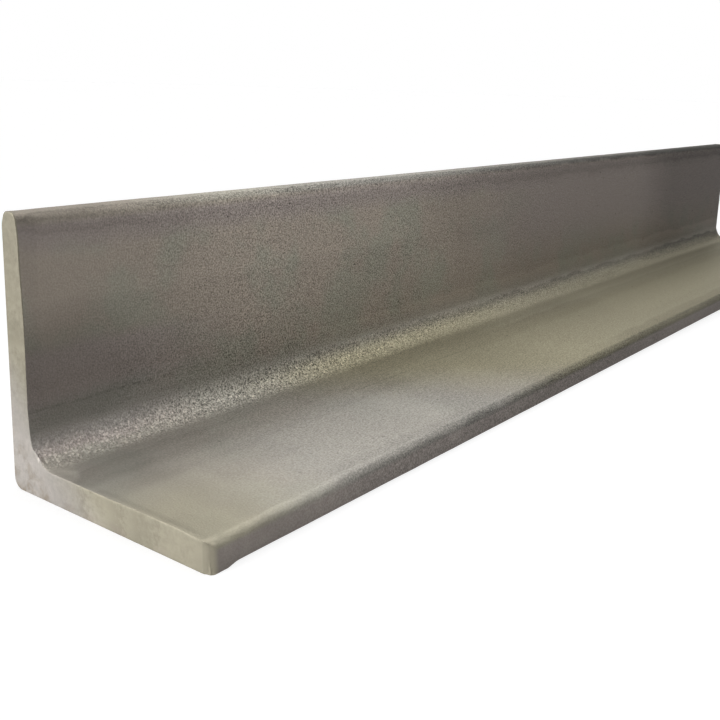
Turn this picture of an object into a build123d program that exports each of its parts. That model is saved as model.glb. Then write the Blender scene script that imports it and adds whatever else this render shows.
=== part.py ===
from build123d import *
import os

# Hot-rolled equal-leg angle, cut square to a stock length and lying on its foot.
# Millimetres. +X runs along the bar and +Z is up. The foot reaches towards -Y and the
# upright stands at the back, so the inside corner is open towards -Y and +Z.
# Origin: on the floor, under the centre of the bar's footprint.

bar_length = 300.0       # cut length
upright_leg = 40.0       # floor to the upright's toe
foot_leg = 40.0          # back face to the foot's toe
leg_thickness = 4.3      # both legs: a nominal 4, rolled a little full
root_radius = 5.0        # concave fillet where the legs meet
toe_radius = 1.4         # inner edge of each toe, about a third of the leg's thickness
heel_radius = 1.7        # outer corner between the legs
corner_radius = 0.6      # outer edge of each toe
end_break = 0.1          # edge break round both cut ends
least_toe_flat = 0.2     # flat that is left between a toe's two rounded edges

back = foot_leg / 2      # Y of the upright's outer face
front = -foot_leg / 2    # Y of the foot's toe

# The outer edge leaves a toe's inner rounding only the rest of the leg's thickness.
toe_rounding = min(toe_radius, leg_thickness - corner_radius - least_toe_flat)


def corner(sketch, y, z):
    """The section's vertex at this sharp corner."""
    return sketch.vertices().sort_by_distance((y, z))[0]


def rolled_section():
    """The L section in the YZ plane, with the radii that the rolls leave."""
    inner_y = back - leg_thickness
    with BuildSketch(Plane.YZ) as section:
        with BuildLine():
            Polyline(
                (back, 0),
                (front, 0),
                (front, leg_thickness),
                (inner_y, leg_thickness),
                (inner_y, upright_leg),
                (back, upright_leg),
                close=True,
            )
        make_face()
        fillet(corner(section, inner_y, leg_thickness), root_radius)
        fillet(corner(section, back, 0), heel_radius)
        fillet(corner(section, front, leg_thickness), toe_rounding)
        fillet(corner(section, inner_y, upright_leg), toe_rounding)
        fillet(corner(section, front, 0), corner_radius)
        fillet(corner(section, back, upright_leg), corner_radius)
    return section.sketch


def angle_bar():
    """The section run out to both sides of the origin, with its cut ends' edges broken."""
    bar = extrude(rolled_section(), amount=bar_length / 2, both=True)
    cut_ends = bar.faces().filter_by(Axis.X)
    return chamfer(cut_ends.edges(), end_break)


os.makedirs("parts", exist_ok=True)
export_step(angle_bar(), "parts/angle_bar.step")
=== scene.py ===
from math import atan2, cos, degrees, pi, radians, sin

import bpy
from mathutils import Matrix, Vector


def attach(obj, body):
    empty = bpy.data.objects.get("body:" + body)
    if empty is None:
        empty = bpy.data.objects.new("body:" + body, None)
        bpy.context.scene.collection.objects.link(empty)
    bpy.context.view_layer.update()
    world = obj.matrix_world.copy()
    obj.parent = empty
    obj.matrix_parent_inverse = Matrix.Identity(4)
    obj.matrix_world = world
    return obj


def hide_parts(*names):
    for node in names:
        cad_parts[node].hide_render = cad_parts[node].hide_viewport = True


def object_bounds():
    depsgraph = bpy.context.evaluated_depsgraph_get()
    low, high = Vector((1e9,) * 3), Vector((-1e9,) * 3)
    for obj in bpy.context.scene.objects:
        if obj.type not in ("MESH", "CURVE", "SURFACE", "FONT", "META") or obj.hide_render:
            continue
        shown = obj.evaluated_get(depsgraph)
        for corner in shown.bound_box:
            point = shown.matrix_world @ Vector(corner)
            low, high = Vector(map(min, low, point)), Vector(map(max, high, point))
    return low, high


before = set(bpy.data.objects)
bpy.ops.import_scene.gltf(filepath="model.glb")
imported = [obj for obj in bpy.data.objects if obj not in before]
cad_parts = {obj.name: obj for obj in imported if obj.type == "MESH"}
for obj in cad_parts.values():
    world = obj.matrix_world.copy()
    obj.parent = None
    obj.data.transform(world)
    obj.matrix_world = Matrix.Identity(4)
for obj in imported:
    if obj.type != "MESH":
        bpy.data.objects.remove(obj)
cadLow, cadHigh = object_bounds()
print("frame loaded, bar", [round(side, 4) for side in cadHigh - cadLow])

mm = 0.001
touch = 0.01 * mm             # how close two places count as one

# the rolled bar: what the rolls and the saw leave, in metres
bar = {
    "legThickness": 4.3 * mm,
    "rootRadius": 5.0 * mm,
    "toeRadius": 1.4 * mm,
    "heelRadius": 1.7 * mm,
    "cornerRadius": 0.6 * mm,
    "endBreak": 0.08 * mm,
    "endInset": 0.3 * mm,     # keeps the cut ends flat up to their rims
    "rootSteps": 16,
    "edgeSteps": 5,
    "acrossCuts": 23,         # cuts over each flat of a leg
    "leastFlat": 20 * mm,     # edges longer than this cross a flat
    "zones": (                # rings along the bar: a zone's length, and its cuts
        (3 * mm, 14),
        (57 * mm, 142),
        (240 * mm, 299),
    ),
    "calmEnds": (0.2 * mm, 2 * mm),  # from a cut end: waves start, waves full
    "waveDepth": 0.05 * mm,   # rolled faces, never quite flat
    "waveLump": 9 * mm,
    "toeDepth": 0.16 * mm,    # ragged inner edge of both toes
    "toeLump": 1.1 * mm,
    "rimDepth": 0.07 * mm,    # uneven inner rim of the cut ends
    "rimLump": 1.6 * mm,
    "rollOver": 1.03 * mm,    # the upright's rim at the near end, bent back most at its toe
    "rollReach": 2.6 * mm,
    "rollSteps": (            # share of it, gained between two heights
        (0.26, 8.5 * mm, 13 * mm),
        (0.47, 23 * mm, 35 * mm),
        (0.27, 36.3 * mm, 38.8 * mm),
    ),
    "lip": 0.25 * mm,         # the foot's rim there, raised by the cut
    "lipReach": 2.0 * mm,
    "chip": 0.30 * mm,        # swelling in the root's rim
    "chipReach": 0.9 * mm,
    "chipAngles": (31, 35, 50, 66),  # degrees round the root: starts, full, full, ends
    "noseRadius": 1.6 * mm,   # rounded corner between the near end and the foot's toe
    "noseCuts": 6,
    "noseRows": 5,            # cuts over the toe's height there
    "knock": (0.45 * mm, 0.75 * mm, 0.9 * mm),  # upright's top corner, knocked round: along, over, down
    "knockFades": (2.0, 2.2),  # how far it runs out, in the last two of those
    "knockCuts": 9,
    "burrFull": 3.0 * mm,     # burr that fills the foot's lower corner at the near end
    "burrReach": 4.9 * mm,
    "burrOut": 0.10 * mm,
}


def deselectAll():
    if bpy.context.object and bpy.context.object.mode == "EDIT":
        bpy.ops.object.mode_set(mode="OBJECT")
    bpy.ops.object.select_all(action="DESELECT")


def pickOnly(piece, kind, test):
    # selects the faces or edges that pass the test, and stays in edit mode
    bpy.ops.object.mode_set(mode="EDIT")
    bpy.ops.mesh.select_mode(type="FACE" if kind == "face" else "EDGE")
    bpy.ops.mesh.select_all(action="DESELECT")
    bpy.ops.object.mode_set(mode="OBJECT")
    mesh = piece.data
    if kind == "face":
        for face in mesh.polygons:
            face.select = test(face)
    else:
        for edge in mesh.edges:
            a, b = (mesh.vertices[i].co for i in edge.vertices)
            edge.select = test(a, b)
    bpy.ops.object.mode_set(mode="EDIT")


def near(a, b):
    return abs(a - b) < touch


def buildBar():
    low, high = cadLow, cadHigh
    t = bar["legThickness"]
    innerY = high.y - t
    deselectAll()
    # heel block, from which both legs are drawn
    bpy.ops.mesh.primitive_cube_add(size=1, location=(0, high.y - t / 2, low.z + t / 2))
    piece = bpy.context.object
    piece.name = "rolledAngle"
    piece.scale = (high.x - low.x, t, t)
    bpy.ops.object.transform_apply(location=True, rotation=False, scale=True)
    pickOnly(piece, "face", lambda f: f.normal.y < -0.9)
    bpy.ops.mesh.extrude_region_move(TRANSFORM_OT_translate={"value": (0, low.y - innerY, 0)})
    pickOnly(piece, "face", lambda f: f.normal.z > 0.9 and f.center.y > innerY)
    bpy.ops.mesh.extrude_region_move(TRANSFORM_OT_translate={"value": (0, 0, high.z - low.z - t)})
    bpy.ops.mesh.select_all(action="SELECT")
    bpy.ops.mesh.dissolve_limited(angle_limit=radians(1))  # one face on each side of the L
    print("legs drawn, faces", len(piece.data.polygons))

    def longEdge(y, z):
        return lambda a, b: near(a.y, b.y) and near(a.z, b.z) and near(a.y, y) and near(a.z, z)

    roundings = (
        (innerY, low.z + t, bar["rootRadius"], bar["rootSteps"]),
        (high.y, low.z, bar["heelRadius"], bar["edgeSteps"]),
        (low.y, low.z + t, bar["toeRadius"], bar["edgeSteps"]),
        (innerY, high.z, bar["toeRadius"], bar["edgeSteps"]),
        (low.y, low.z, bar["cornerRadius"], bar["edgeSteps"]),
        (high.y, high.z, bar["cornerRadius"], bar["edgeSteps"]),
    )
    for y, z, radius, steps in roundings:
        pickOnly(piece, "edge", longEdge(y, z))
        bpy.ops.mesh.bevel(offset=radius, segments=steps, affect="EDGES")
    print("edges rounded, vertices", len(piece.data.vertices))

    # break the cut ends' rims
    pickOnly(piece, "edge", lambda a, b: near(a.x, b.x) and abs(a.x) > high.x - touch)
    bpy.ops.mesh.bevel(offset=bar["endBreak"], segments=2, affect="EDGES")
    pickOnly(piece, "face", lambda f: abs(f.normal.x) > 0.99)
    bpy.ops.mesh.inset(thickness=bar["endInset"])

    # cuts across each flat
    pickOnly(piece, "edge", lambda a, b: near(a.x, b.x) and (a - b).length > bar["leastFlat"])
    bpy.ops.mesh.subdivide(number_cuts=bar["acrossCuts"])

    # rings along the bar, closest at the near end
    start = low.x
    slack = 1 * mm
    for length, cuts in bar["zones"]:
        end = start + length
        if end < high.x - slack:
            pickOnly(piece, "face", lambda f: True)
            bpy.ops.mesh.bisect(plane_co=(end, 0, 0), plane_no=(1, 0, 0))
        pickOnly(piece, "edge", lambda a, b: min(a.x, b.x) < start + slack and max(a.x, b.x) > end - slack)
        bpy.ops.mesh.subdivide(number_cuts=cuts)
        start = end

    # finer cuts where the near end's corners are rounded
    def atNose(face):
        return face.center.x < low.x + 2 * mm and face.center.y < low.y + bar["noseRadius"]

    acrossY, acrossZ = (0, 1, 0), (0, 0, 1)
    planes = []
    for k in range(1, bar["noseCuts"] + 1):
        planes.append(((0, low.y + bar["noseRadius"] * k / bar["noseCuts"], 0), acrossY))
    wide, tall = (size * far for size, far in zip(bar["knock"][1:], bar["knockFades"]))
    for k in range(1, bar["knockCuts"] + 1):
        planes.append(((0, high.y - wide * k / bar["knockCuts"], 0), acrossY))
        planes.append(((0, 0, high.z - tall * k / bar["knockCuts"]), acrossZ))
    for point, square in planes:
        pickOnly(piece, "face", lambda f: f.center.x < low.x + bar["zones"][0][0])
        bpy.ops.mesh.bisect(plane_co=point, plane_no=square)
    for k in range(1, bar["noseRows"] + 1):
        pickOnly(piece, "face", atNose)
        bpy.ops.mesh.bisect(plane_co=(0, 0, low.z + t * k / (bar["noseRows"] + 1)), plane_no=acrossZ)
    bpy.ops.object.mode_set(mode="OBJECT")
    print("bar faces", len(piece.data.polygons))
    return piece


def smooth(value, start, end):
    part = min(max((value - start) / (end - start), 0.0), 1.0)
    return part * part * (3 - 2 * part)


def fade(value, start, end):
    return 1 - smooth(value, start, end)


def weigh(piece, name, rule):
    # a vertex group whose weights follow a rule of place
    group = piece.vertex_groups.new(name=name)
    for vertex in piece.data.vertices:
        weight = rule(vertex.co)
        if weight > 0.001:
            group.add([vertex.index], min(weight, 1.0), "REPLACE")


def push(piece, group, depth, direction="NORMAL", lump=None):
    # moves the group by up to this depth, in lumps of this size or evenly
    deselectAll()
    piece.select_set(True)
    bpy.context.view_layer.objects.active = piece
    press = piece.modifiers.new(group, "DISPLACE")
    press.vertex_group = group
    press.direction = direction
    press.strength = depth
    press.mid_level = 0.0
    if lump:
        clouds = bpy.data.textures.new(group, "CLOUDS")
        clouds.noise_scale = lump
        clouds.noise_depth = 2
        clouds.contrast = 1.6
        press.texture = clouds
        press.texture_coords = "LOCAL"
    bpy.ops.object.modifier_apply(modifier=press.name)


def wearBar(piece):
    low, high = cadLow, cadHigh
    t = bar["legThickness"]
    innerY = high.y - t
    root = bar["rootRadius"]
    toe = bar["toeRadius"]
    corner = bar["cornerRadius"]
    nose = bar["noseRadius"]
    inside = 0.4 * mm

    def skin(place):
        return smooth(high.x - abs(place.x), *bar["calmEnds"])

    def toes(place):
        gap = min(Vector((place.y - low.y, place.z - low.z - t)).length,
                  Vector((place.y - innerY, place.z - high.z)).length)
        return fade(gap, toe * 0.4, toe * 1.3) * smooth(place.x - low.x, 0.5 * mm, 4 * mm)

    def rims(place):
        faces = place.y < innerY + inside and place.z > low.z + t - inside
        return fade(high.x - abs(place.x), 0.1 * mm, 0.5 * mm) if faces else 0.0

    def rolled(place):
        # over the upright's inner face and the rounding above it
        if place.z < low.z + t + root or place.y > innerY + toe + inside:
            return 0.0
        amount = sum(share * smooth(place.z, start, end) for share, start, end in bar["rollSteps"])
        amount *= 1 - 0.2 * smooth(place.y, innerY + inside, innerY + toe)
        return amount * fade(place.x - low.x, 0.0, bar["rollReach"])

    def lip(place):
        if place.z < low.z + t - inside or place.z > low.z + t + root * 0.8:
            return 0.0
        across = smooth(place.y, low.y + toe, low.y + 6 * mm)
        across *= fade(place.y, innerY - 3.5 * mm, innerY - 0.5 * mm)
        return across * fade(place.x - low.x, 0.0, bar["lipReach"])

    def chip(place):
        # angle round the root, 0 at the upright and 90 at the foot
        away = Vector((place.y - innerY + root, low.z + t + root - place.z))
        if not root * 0.9 < away.length < root * 1.03:
            return 0.0
        turned = degrees(atan2(away.y, away.x))
        starts, full, leaves, ends = bar["chipAngles"]
        amount = smooth(turned, starts, full) * fade(turned, leaves, ends)
        return amount * fade(place.x - low.x, 0.0, bar["chipReach"])

    def noseOver(place):
        # how far the place stands out of the rounded corner, along X and along Y
        away = Vector((low.x + nose - place.x, low.y + nose - place.y))
        if min(away) < 0 or away.length <= nose:
            return Vector((0, 0))
        return away - away * nose / away.length

    def knockOver(place):
        # how far the place stands out of the knocked corner
        deep, wide, tall = bar["knock"]
        part = Vector(((low.x - place.x) / deep, (place.y - high.y) / wide, (place.z - high.z) / tall))
        fades = [smooth(gap, -far, -0.6) for gap, far in zip(part.yz, bar["knockFades"])]
        part = Vector([max(gap + 1, 0) for gap in part])
        if part.x == 0 or part.length <= 1:
            return Vector((0, 0, 0))
        away = Vector((part.x * deep, part.y * wide, part.z * tall))
        return away * (1 - 1 / part.length) * fades[0] * fades[1]

    def burr(place):
        # 1 where the corner is filled, along the bar
        left = bar["burrReach"] - (place.x - low.x)
        return min(max(left / (bar["burrReach"] - bar["burrFull"]), 0.0), 1.0)

    def onSkin(out, deep):
        # false inside a cut end, near the foot's lower toe corner
        if max(out, deep) < corner:
            return Vector((corner - out, corner - deep)).length > corner * 0.8
        return min(out, deep) < 0.1 * mm

    def burrDown(place):
        out, deep = place.y - low.y, place.z - low.z
        if not onSkin(out, deep):
            return 0.0
        reach = deep / corner * fade(deep, corner * 0.3, corner)
        return burr(place) * reach * fade(out, corner * 0.9, corner * 1.2)

    def burrOut(place):
        out, deep = place.y - low.y, place.z - low.z
        if not onSkin(out, deep):
            return 0.0
        reach = (out + bar["burrOut"]) / (corner + bar["burrOut"])
        return burr(place) * reach * fade(out, corner * 0.3, corner) * fade(deep, corner, corner * 3)

    rules = {
        "skin": skin, "toes": toes, "rims": rims, "rolled": rolled, "lip": lip, "chip": chip,
        "noseX": lambda place: noseOver(place).x / nose,
        "noseY": lambda place: noseOver(place).y / nose,
        "knockX": lambda place: knockOver(place).x / mm,
        "knockY": lambda place: knockOver(place).y / mm,
        "knockZ": lambda place: knockOver(place).z / mm,
        "burrDown": burrDown, "burrOut": burrOut,
    }
    for name, rule in rules.items():
        weigh(piece, name, rule)
    push(piece, "skin", -bar["waveDepth"], lump=bar["waveLump"])
    push(piece, "toes", -bar["toeDepth"], lump=bar["toeLump"])
    push(piece, "rims", bar["rimDepth"], "Y", bar["rimLump"])
    push(piece, "rims", -bar["rimDepth"], "Z", bar["rimLump"])
    push(piece, "rolled", bar["rollOver"], "Y")
    push(piece, "lip", bar["lip"], "Z")
    push(piece, "chip", -bar["chip"], "Y")
    push(piece, "chip", bar["chip"], "Z")
    push(piece, "burrDown", -corner, "Z")
    push(piece, "burrOut", -corner - bar["burrOut"], "Y")
    push(piece, "noseX", nose, "X")
    push(piece, "noseY", nose, "Y")
    push(piece, "knockX", mm, "X")
    push(piece, "knockY", -mm, "Y")
    push(piece, "knockZ", -mm, "Z")
    piece.vertex_groups.clear()
    print("bar worn")


angle = buildBar()
wearBar(angle)
deselectAll()
angle.select_set(True)
bpy.context.view_layer.objects.active = angle
bpy.ops.object.shade_smooth_by_angle(angle=radians(35))


class Wire:
    # one shader socket, with arithmetic that adds its Math nodes
    tree = None

    def __init__(self, socket):
        self.socket = socket

    @classmethod
    def node(cls, kind, settings=None, inputs=None, out=0):
        made = cls.tree.nodes.new(kind)
        for name, value in (settings or {}).items():
            setattr(made, name, value)
        for name, value in (inputs or {}).items():
            if isinstance(value, Wire):
                cls.tree.links.new(value.socket, made.inputs[name])
            else:
                made.inputs[name].default_value = value
        return Wire(made.outputs[out]) if len(made.outputs) else made

    def maths(self, operation, other=0.0, swap=False):
        pair = (other, self) if swap else (self, other)
        return Wire.node("ShaderNodeMath", {"operation": operation}, {0: pair[0], 1: pair[1]})

    def __add__(self, other):
        return self.maths("ADD", other)

    def __radd__(self, other):
        return self.maths("ADD", other, True)

    def __sub__(self, other):
        return self.maths("SUBTRACT", other)

    def __rsub__(self, other):
        return self.maths("SUBTRACT", other, True)

    def __mul__(self, other):
        return self.maths("MULTIPLY", other)

    def __rmul__(self, other):
        return self.maths("MULTIPLY", other, True)

    def size(self):
        return self.maths("ABSOLUTE")

    def rise(self, start, end):
        # 0 below start, 1 past end, and smooth between
        return Wire.node("ShaderNodeMapRange", {"interpolation_type": "SMOOTHSTEP"},
                         {"Value": self, "From Min": start, "From Max": end})

    def fall(self, start, end):
        return 1 - self.rise(start, end)

    def band(self, start, end, fade):
        # 1 between start and end, and fading outside them; None leaves a side open
        if start is None:
            return 1.0 if end is None else self.fall(end, end + fade)
        if end is None:
            return self.rise(start - fade, start)
        return self.rise(start - fade, start) * self.fall(end, end + fade)


def newMaterial(name):
    material = bpy.data.materials.new(name)
    material.use_nodes = True
    material.node_tree.nodes.clear()
    Wire.tree = material.node_tree
    return material


def mixColour(factor, first, second, blend="MIX"):
    mix = Wire.tree.nodes.new("ShaderNodeMix")
    mix.data_type = "RGBA"
    mix.blend_type = blend
    for slot, value in ((0, factor), (6, first), (7, second)):
        if isinstance(value, Wire):
            Wire.tree.links.new(value.socket, mix.inputs[slot])
        else:
            mix.inputs[slot].default_value = value
    return Wire(mix.outputs[2])


# the finish: blasted and pickled steel
# lengths in millimetres: along from the near end, out from the back, up from the floor
steel = {
    "olive": (0.311, 0.299, 0.250, 1),
    "rose": (0.342, 0.300, 0.256, 1),
    "plain": (0.320, 0.304, 0.268, 1),
    "straw": (0.324, 0.299, 0.212, 1),
    "dusk": (0.344, 0.302, 0.278, 1),
    "bright": (0.315, 0.306, 0.284, 1),
    "cutGrey": (0.478, 0.445, 0.412, 1),     # cut ends, close to the heel
    "cutOlive": (0.352, 0.324, 0.250, 1),    # and out along the legs
    "stain": (0.345, 0.300, 0.250, 1),
    "metallic": 0.25,
    "roughness": 0.45,
    "blotch": 12.0,
    "grain": 0.28,
    "grainShade": 2.9,
    "rubbedEnd": 45.0,       # the grain is rubbed down towards the near end
    "rubbedGrain": 0.18,
    "facet": 0.34,
    "glint": 0.50,           # painted glints on the root's facets
    "facetShade": 0.40,
    "pitSpacing": 3.4,
    "pitSize": 0.33,
    "bumpHeight": 0.00008,
    "rollLine": 12.1,        # faint line that the rolls left on the upright
    "scratchLine": 16.9,     # and one on the foot
    "toeShade": 0.26,        # painted shade in the toes' roundings
    "footToeShade": 0.34,
    "rootShade": 0.10,       # painted highlight in the root
    "farRootHighlight": 0.13,
    # painted light and shade, in patches: leg, from and to along the bar, fade, from and to across the leg,
    # fade, tone
    # None leaves that end open
    "lightAndShadePatches": (
        ("upright", None, 14, 9, 12.5, 22, 4, -0.13),
        ("upright", None, 28, 7, 16, 20, 2.5, -0.07),
        ("upright", 18, 46, 8, 12.2, 14.5, 2, -0.07),
        ("upright", None, 20, 8, 37.2, 38.2, 0.5, -0.11),
        ("upright", None, None, 10, 35, 36.8, 1.0, -0.05),
        ("upright", 98, None, 10, 36.8, 38.0, 0.6, -0.07),
        ("upright", 84, 128, 8, 28, 34, 3, 0.06),
        ("upright", 100, None, 12, 7.3, 8.0, 0.5, -0.08),
        ("upright", None, None, 10, 8.3, 9.2, 0.5, 0.08),
        ("upright", 46, None, 10, 6.6, 7.8, 0.5, -0.12),
        ("upright", 42, 96, 18, 15, 37, 6, 0.14),
        ("upright", None, 80, 20, 28.5, 34.2, 3.5, 0.15),
        ("upright", 16, 66, 12, 20.5, 26, 4, 0.08),
        ("upright", 104, 128, 14, 10, 22, 5, 0.11),
        ("upright", 68, None, 14, 8.8, 12, 1.2, 0.16),
        ("upright", 150, None, 30, 36.5, 38.8, 1.2, -0.10),
        ("upright", None, 10, 6, 39, None, 1, -0.12),
        ("upright", 60, 120, 10, 39.2, None, 0.8, -0.06),
        ("upright", 14, 110, 8, 38.2, 39.3, 0.4, 0.09),
        ("upright", 14, 28, 6, 38.8, 39.8, 0.5, -0.08),
        ("upright", 32, 52, 8, 39.2, None, 0.8, 0.10),
        ("upright", 128, None, 16, 39.6, None, 0.8, -0.22),
        ("upright", 172, None, 14, 39.6, None, 0.8, -0.14),
        ("upright", 250, None, 40, None, None, 9, -0.35),
        ("foot", None, 26, 10, 7.5, 10.0, 0.8, 0.13),
        ("foot", None, 0.5, 1.5, 6.5, 12, 2, 0.30),
        ("foot", None, 6, 4, 14.5, 17, 1.5, 0.09),
        ("foot", 90, None, 25, 6.4, 7.6, 0.6, 0.08),
        ("foot", 104, 156, 12, 11, 17, 3, -0.11),
        ("foot", 48, 60, 6, 9.5, 14, 2, -0.08),
        ("foot", 16, 29, 4, 21.5, 27, 3, -0.08),
        ("foot", None, 80, 12, 38.7, 39.4, 0.4, 0.14),
        ("foot", None, 12, 4, 10, 15, 2, -0.09),
        ("foot", None, 2, 1.5, 6.4, 8.2, 0.8, 0.12),
        ("foot", 160, None, 12, 6.4, 14, 2, 0.09),
        ("foot", 6, 14, 3, 32, None, 3, 0.07),
        ("foot", 130, None, 30, 6.8, 12, 1.5, 0.22),
        ("foot", 150, None, 15, 4.5, 6.6, 1.0, -0.14),
        ("foot", None, 4, 6, 18, None, 4, 0.12),
        ("foot", None, 12, 4, 23, 29, 3, 0.08),
        ("foot", 4, 24, 6, 10, 16, 4, -0.09),
        ("foot", 6, 66, 8, 15.5, 20, 2.5, -0.12),
        ("foot", 18, 56, 12, 20, 36, 9, 0.24),
        ("foot", 32, 60, 8, 36.8, None, 1, -0.10),
        ("foot", 60, 82, 8, 24, 37, 3, 0.09),
        ("foot", 68, 95, 6, 8, 12, 4, -0.10),
        ("foot", 115, None, 25, 16, 35, 6, 0.13),
        ("foot", 165, None, 15, 20, 30, 3, 0.07),
        ("foot", 135, None, 20, 36.3, 39.2, 1, -0.14),
        ("foot", None, 14, 6, 39.6, None, 0.3, -0.08),
        ("foot", 86, 126, 8, 39.6, None, 0.3, -0.09),
        ("foot", 160, None, 12, 39.6, None, 0.3, 0.06),
    ),
    # painted light and shade on the cut ends, in patches: leg, from and to across it, fade, tone
    "cutLightAndShadePatches": (
        ("upright", 11, 18, 3, -0.08),
        ("upright", 23, 25, 2, -0.08),
        ("foot", 8, 15, 2, -0.06),
        ("foot", 18, 20, 3, 0.14),
        ("foot", 24, 25, 1, 0.10),
        ("foot", 31, 37, 3, 0.13),
    ),
    # nicks on the cut ends with painted glints: out from the back, height, size, tone
    "nickGlints": (
        (6.05, 5.8, 0.40, 0.45),
        (39.6, 3.9, 0.30, 0.16),
    ),
    "noseLightGain": 0.55,        # painted light on the corner where the near end meets the foot's toe
    "smear": 0.20,           # leaning streaks on the cut ends
    "mottle": 0.50,          # smudges there
    "mottleShift": 7.0,      # and how far they push the patches about
    "stainAndShadeStrength": 0.7,          # strength of the stains and the painted shade there
    "lowStain": 0.7,         # and of the painted shade along its lower rim
    "legFade": 0.09,         # the upright's cut end, darker upwards
    "rollMark": 0.15,
    "scratch": 0.16,
    "footRub": 0.3,          # share of the grain that is rubbed off the foot
    "farRub": 0.5,           # and off the far part of the bar
    "midGrain": 0.2,         # more grain halfway along the upright
    "rootGrainAndSparkle": (0.45, 0.3),  # and in the root, partly painted sparkle of its highlight: all along, and more halfway
    "farPaintedGlint": 0.7,         # share of the painted glints that is lost further along
    "pitShade": 0.5,
    "pitHeight": 0.8,
    "cutCalm": 0.7,          # how much less relief the cut ends have
    "leastShade": 0.25,
}


def noise(point, size, detail=2.0, roughness=0.5, lift=(0, 0, 0)):
    # grey noise with lumps of about this size
    moved = Wire.node("ShaderNodeVectorMath", {"operation": "ADD"}, {0: point, 1: lift})
    return Wire.node("ShaderNodeTexNoise", {"noise_dimensions": "3D"}, {
        "Vector": moved, "Scale": 1 / size, "Detail": detail, "Roughness": roughness})


def cells(point, size, out):
    return Wire.node("ShaderNodeTexVoronoi", None, {"Vector": point, "Scale": 1 / size}, out)


def grey(shade):
    return Wire.node("ShaderNodeCombineColor", None, {0: shade, 1: shade, 2: shade})


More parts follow.
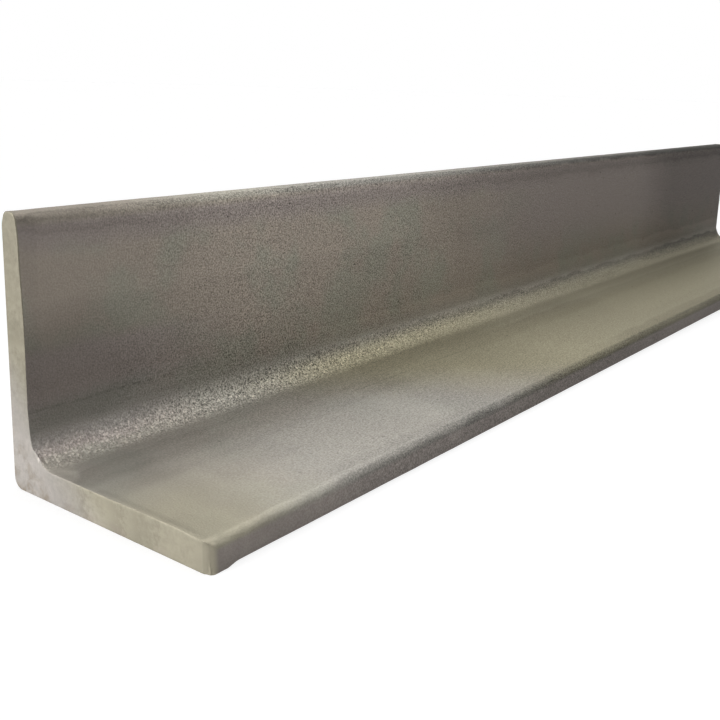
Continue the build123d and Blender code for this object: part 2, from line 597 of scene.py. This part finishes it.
def pickledSteel():
    material = newMaterial("pickledSteel")
    place = Wire.node("ShaderNodeTexCoord", None, None, "Object")
    point = Wire.node("ShaderNodeVectorMath", {"operation": "SCALE"}, {0: place, "Scale": 1000.0})
    split = Wire.tree.nodes.new("ShaderNodeSeparateXYZ")
    Wire.tree.links.new(point.socket, split.inputs[0])
    x, y, z = (Wire(end) for end in split.outputs)
    leg = bar["legThickness"] / mm
    root = bar["rootRadius"] / mm
    toe = bar["toeRadius"] / mm
    half, back, top = cadHigh.x / mm, cadHigh.y / mm, cadHigh.z / mm

    # where on the bar: along it, out over the foot, up the upright
    sway = (noise(point, 9.0, 2.0) - 0.5) * 9.0
    along = x + half + sway
    out = back - y + sway * 0.3
    up = z + sway * 0.3
    across = {"foot": out, "upright": up}
    ragged = (noise(point, 0.9, 2.0) - 0.5) * 0.9
    inRoot = (back - y).fall(leg + root - 2.3, leg + root - 0.4) * z.fall(leg + root - 3.5, leg + root)
    inRoot = inRoot * (back - y).rise(leg - 0.8, leg - 0.2) * z.rise(leg - 0.8, leg - 0.2)
    onFoot = z.fall(leg + 0.1, leg + 1.5)
    inUprightToe = (z + ragged).rise(top - toe - 0.2, top - toe + 0.6)
    inUprightToe = inUprightToe * (y + ragged).fall(back - leg + toe * 0.6, back - leg + toe)
    onFootToe = (ragged - y).rise(back - toe - 0.1, back - toe + 0.5) * (x + half).rise(15, 62)
    inFootToe = (z + ragged * 0.5).rise(leg - toe - 0.3, leg - toe + 0.4) * 0.75 + 0.25
    footSide = z.fall(leg - toe - 0.3, leg - toe + 0.5) * (0 - y).rise(back - 1.0, back - 0.4)
    onLeg = {"foot": onFoot, "upright": 1 - onFoot}
    behind = (back - y).fall(0.1, 0.4) * z.fall(top - 0.8, top - 0.3)
    seen = (1 - behind) * z.rise(0.05, 0.25)  # 0 on the back and the underside, which keep to one tone

    # cut ends, with an uneven rim
    rim = noise(point, 1.6, 2.0)
    cut = (x.size() + (rim - 0.5) * 0.04 + up.rise(18, 34) * 0.16).rise(half - 0.07, half - 0.01)
    nose = (x + half).fall(0.7, 1.7) * (0 - y).rise(back - 1.6, back - 0.9)
    cut = cut.maths("MAXIMUM", nose)
    fromHeel = ((back - y) + z) * (0.9 + 0.2 * noise(point, 4.0, 2.0, 0.5, (5, 1, 2)))
    sawn = mixColour(fromHeel.rise(9.0, 24.0), steel["cutGrey"], steel["cutOlive"])
    leaning = Wire.node("ShaderNodeMapping", {"vector_type": "POINT"}, {
        "Vector": point, "Rotation": (radians(55), 0, 0), "Scale": (1.0, 0.3, 1.0)})
    smear = noise(leaning, 1.5, 3.0, 0.6) - 0.5
    stain = noise(point, 2.0, 3.0, 0.6, (3, 0, 7)).rise(0.44, 0.64) * fromHeel.fall(6, 13)
    # painted shade along the cut end's lower rim, in the stain colour
    lowStain = noise(point, 2.2, 2.0).rise(0.40, 0.62) * z.fall(0.3, 1.7) * (back - y).band(2, 30, 4)
    stain = stain + lowStain * steel["lowStain"]
    sawn = mixColour(stain * steel["stainAndShadeStrength"], sawn, steel["stain"])
    # painted light on the rounded corner at the foot's toe, set against its shading
    worn = (x + half).fall(1.2, 1.7) * (0 - y).rise(back - 1.75, back - 0.5) * z.fall(leg - 1.0, leg)
    worn = worn * (0.45 + 0.55 * (x + half).rise(0.3, 0.8))
    mottle = noise(point, 0.8, 3.0, 0.65, (0, 4, 1)) - 0.5
    sawTone = 1 + smear * steel["smear"] + mottle * steel["mottle"] - up.rise(18, 40) * steel["legFade"]
    sawTone = sawTone + worn * steel["noseLightGain"]
    # painted light and shade on the cut ends, in patches moved about by the smudges
    for name, low, high, blend, gain in steel["cutLightAndShadePatches"]:
        spot = onLeg[name] * (across[name] + mottle * steel["mottleShift"]).band(low, high, blend)
        sawTone = sawTone + spot * gain
    # painted glints on nicks in the cut ends
    for outwards, height, size, gain in steel["nickGlints"]:
        spread = (back - y - outwards).size() + (z - height).size() * 0.5
        sawTone = sawTone + spread.fall(size * 0.3, size) * gain
    sawn = mixColour(1.0, sawn, grey(sawTone), "MULTIPLY")

    # skin colour: soft blotches, yellower low down and away from the near end
    blotch = noise(point, steel["blotch"], 3.0, 0.55).rise(0.36, 0.57)
    skin = mixColour(blotch, steel["olive"], steel["rose"])
    lowDown = z.fall(leg + root - 1, leg + root + 3)
    skin = mixColour(lowDown * 0.75, skin, steel["plain"])
    dusky = along.fall(15, 42) * up.band(14, 19, 3) + up.rise(33, 37)
    dusky = dusky + along.rise(105, 160) * up.rise(12, 26)
    dusky = dusky + along.fall(8, 34) * up.band(6.2, 8.4, 1.2) * 0.9
    skin = mixColour(dusky.maths("MINIMUM", 1.0) * (1 - onFoot), skin, steel["dusk"])
    silver = along.band(30, 68, 12) * out.rise(13, 22) * onFoot * 0.5
    silver = silver + z.rise(top - 1.2, top - 0.5) * along.rise(12, 40) * 0.9
    silver = silver + along.fall(15, 40) * up.band(8, 12, 2.5) * (1 - onFoot) * 0.6
    skin = mixColour(silver, skin, steel["bright"])
    skin = mixColour(z.rise(top - 2.2, top - 1.0) * (0.17 + 0.2 * along.fall(40, 70)), skin, steel["straw"])
    yellow = (along - out * 1.15).rise(28, 62)
    yellow = yellow * (1 - (x + half).rise(90, 150) * (0.10 + 0.15 * out.fall(11, 18)))
    yellow = yellow + along.fall(2, 22) * out.rise(14, 30) * 0.6
    yellow = yellow * z.fall(leg + 1.2, leg + 4.6) * (1 - footSide) * (1 - behind)
    skin = mixColour(yellow, skin, steel["straw"])
    skin = mixColour(footSide * 0.8, skin, steel["dusk"])

    # tone: patches of painted light and shade, painted shade in the toes, a painted highlight in the root,
    # grain and pits
    # painted highlight along the root, stronger further along
    rootShade = steel["rootShade"] + steel["farRootHighlight"] * (x + half).band(92, 125, 40)
    # painted shade in the toes' roundings, here and on the next line
    tone = 1 + inRoot * rootShade - inUprightToe * steel["toeShade"]
    tone = tone - onFootToe * inFootToe * steel["footToeShade"]
    marks = 0.0
    # painted light and shade, laid on the legs in patches, next to the real roll line and scratch
    for name, start, end, run, low, high, blend, gain in steel["lightAndShadePatches"]:
        spot = onLeg[name] * along.band(start, end, run) * across[name].band(low, high, blend)
        marks = marks + spot * gain
    rollMark = (z - steel["rollLine"] + (noise(point, 5.0, 2.0) - 0.5) * 0.5).size().fall(0.08, 0.34)
    rollMark = rollMark * (1 - onFoot) * along.band(4, 38, 8) * noise(point, 1.4, 2.0).rise(0.35, 0.6)
    marks = marks - rollMark * steel["rollMark"]
    scratch = (back - y - steel["scratchLine"] + (noise(point, 9.0, 2.0) - 0.5) * 0.5).size().fall(0.06, 0.26)
    scratch = scratch * onFoot * (along.band(60, 74, 4) + along.band(87, 97, 4))
    marks = marks - scratch * steel["scratch"]
    tone = tone + marks * seen

    rubbed = steel["rubbedGrain"] + (1 - steel["rubbedGrain"]) * (x + half).rise(0, steel["rubbedEnd"])
    rubbed = rubbed * (1 - onFoot * steel["footRub"]) * (1 - (x + half).rise(95, 190) * steel["farRub"])
    rubbed = rubbed * (1 + (1 - onFoot) * (x + half).band(50, 95, 25) * steel["midGrain"])
    # more grain in the root, partly painted sparkle of its highlight
    allAlong, halfway = steel["rootGrainAndSparkle"]
    rubbed = rubbed + inRoot * (allAlong + (x + half).band(28, 60, 15) * halfway)
    grain = noise(point, steel["grain"], 2.0, 0.6)
    # painted glints: the sparkle of the root's highlight, painted on its facets
    facet = cells(point, steel["facet"], "Color")
    glint = facet.rise(0.62, 0.86) * steel["glint"] + (facet - 0.5) * steel["facetShade"]
    glint = glint * inRoot * (1 - (x + half).rise(75, 125) * steel["farPaintedGlint"])
    reach = steel["pitSize"] / steel["pitSpacing"]
    pit = cells(point, steel["pitSpacing"], "Distance").fall(reach * 0.35, reach)
    pit = pit * cells(point, steel["pitSpacing"], "Color").rise(0.45, 0.55) * (x + half).rise(8, 40)
    shade = tone + (grain - 0.5) * rubbed * steel["grainShade"] + glint - pit * steel["pitShade"]
    skin = mixColour(1.0, skin, grey(shade.maths("MAXIMUM", steel["leastShade"])), "MULTIPLY")
    colour = mixColour(cut, skin, sawn)

    height = grain - pit * steel["pitHeight"]
    calm = 1 - cut * steel["cutCalm"]
    relief = Wire.node("ShaderNodeBump", None, {
        "Strength": 1.0, "Distance": steel["bumpHeight"], "Height": height * calm})
    shader = Wire.node("ShaderNodeBsdfPrincipled", None, {
        "Base Color": colour, "Metallic": steel["metallic"], "Roughness": steel["roughness"],
        "Specular IOR Level": 0.0, "Normal": relief})
    Wire.node("ShaderNodeOutputMaterial", None, {"Surface": shader})
    return material


angle.data.materials.clear()
angle.data.materials.append(pickledSteel())
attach(angle, "root")
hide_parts("angle_bar")

# plain floor and plain light, worked out so that the open floor is seen as white
studio = {
    "floorHalf": 8.0,      # metres
    "floorBounce": 0.28,   # grey that the floor throws back
    "ambient": 0.0,        # all round, for what lights the bar
    "suns": (              # azimuth, elevation, light on a face square to it
        ("leftWindow", 150, 15, 1.135),
        ("skylight", 60, 65, 0.292),
        ("rightWindow", 330, 40, 0.127),
    ),
    "sunSpread": 40,       # degrees
    "boxes": (             # place in metres, width, watts
        ("overBox", (-0.06, 0.0, 0.16), 0.10, 0.089),
        ("nearBox", (-0.115, -0.06, 0.09), 0.10, 0.021),
    ),
    "boxAim": (-0.10, 0.0, 0.01),
}


def seenByEye():
    # 1 for camera, mirror and glass rays
    path = Wire.tree.nodes.new("ShaderNodeLightPath")
    ray = [Wire(path.outputs[name]) for name in ("Is Camera Ray", "Is Glossy Ray", "Is Transmission Ray")]
    return ray[0] + ray[1] + ray[2]


def floorMaterial():
    material = newMaterial("paleFloor")
    bounce = studio["floorBounce"]
    lit = studio["ambient"] + sum(light * sin(radians(up)) for _, _, up, light in studio["suns"])
    ground = Wire.node("ShaderNodeBsdfDiffuse", None, {"Color": (bounce, bounce, bounce, 1)})
    white = Wire.node("ShaderNodeEmission", None, {"Color": (1, 1, 1, 1), "Strength": 1 - bounce * lit})
    seen = Wire.node("ShaderNodeAddShader", None, {0: white, 1: ground})
    mixed = Wire.node("ShaderNodeMixShader", None, {0: seenByEye(), 1: ground, 2: seen})
    Wire.node("ShaderNodeOutputMaterial", None, {"Surface": mixed})
    return material


deselectAll()
bpy.ops.mesh.primitive_plane_add(size=2 * studio["floorHalf"], location=(0, 0, cadLow.z))
floor = bpy.context.object
floor.name = "floor"
floor.data.materials.append(floorMaterial())

# world: white where it is seen, dim where it lights
world = bpy.data.worlds.new("studio")
bpy.context.scene.world = world
world.use_nodes = True
world.node_tree.nodes.clear()
Wire.tree = world.node_tree
dim = Wire.node("ShaderNodeBackground", None, {"Color": (1, 1, 1, 1), "Strength": studio["ambient"]})
white = Wire.node("ShaderNodeBackground", None, {"Color": (1, 1, 1, 1), "Strength": 1.0})
Wire.node("ShaderNodeOutputWorld", None, {
    "Surface": Wire.node("ShaderNodeMixShader", None, {0: seenByEye(), 1: dim, 2: white})})


def hangLamp(name, light, place, towards):
    lamp = bpy.data.objects.new(name, light)
    bpy.context.scene.collection.objects.link(lamp)
    lamp.location = place
    lamp.rotation_mode = "QUATERNION"
    lamp.rotation_quaternion = Vector(towards).to_track_quat("-Z", "Y")
    lamp.visible_camera = False
    return lamp


for name, azimuth, elevation, strength in studio["suns"]:
    light = bpy.data.lights.new(name, "SUN")
    light.angle = radians(studio["sunSpread"])
    light.energy = pi * strength
    flat = cos(radians(elevation))
    away = Vector((flat * cos(radians(azimuth)), flat * sin(radians(azimuth)), sin(radians(elevation))))
    hangLamp(name, light, away, -away)

for name, place, width, power in studio["boxes"]:
    light = bpy.data.lights.new(name, "AREA")
    light.shape = "DISK"
    light.size = width
    light.energy = power
    hangLamp(name, light, place, Vector(studio["boxAim"]) - Vector(place))
print("studio lit")

# the camera stands off the near end, in leg lengths from the heel corner
view = {
    "azimuth": -52.88,
    "elevation": 12.67,
    "roll": 1.71,
    "heelToEye": (-1.829, -2.917, 1.452),
    "sensor": 36,
    "focalWidths": 959.1 / 720,  # in widths of the picture
    "riseWidths": -60 / 720,
    "nearest": 0.005,            # metres
}


def addCamera():
    leg = cadHigh.z - cadLow.z
    heel = Vector((cadLow.x, cadHigh.y, cadLow.z))
    lens = bpy.data.cameras.new("camera")
    lens.sensor_width = view["sensor"]
    lens.lens = view["focalWidths"] * lens.sensor_width
    lens.shift_y = view["riseWidths"]
    lens.clip_start = view["nearest"]
    eye = bpy.data.objects.new("camera", lens)
    bpy.context.scene.collection.objects.link(eye)
    turn = Matrix.Rotation(radians(view["azimuth"]), 4, "Z")
    turn = turn @ Matrix.Rotation(radians(90 - view["elevation"]), 4, "X")
    turn = turn @ Matrix.Rotation(radians(view["roll"]), 4, "Z")
    eye.matrix_world = Matrix.Translation(heel + leg * Vector(view["heelToEye"])) @ turn
    bpy.context.scene.camera = eye


addCamera()
bpy.context.scene.view_settings.view_transform = "Standard"
bpy.context.view_layer.update()
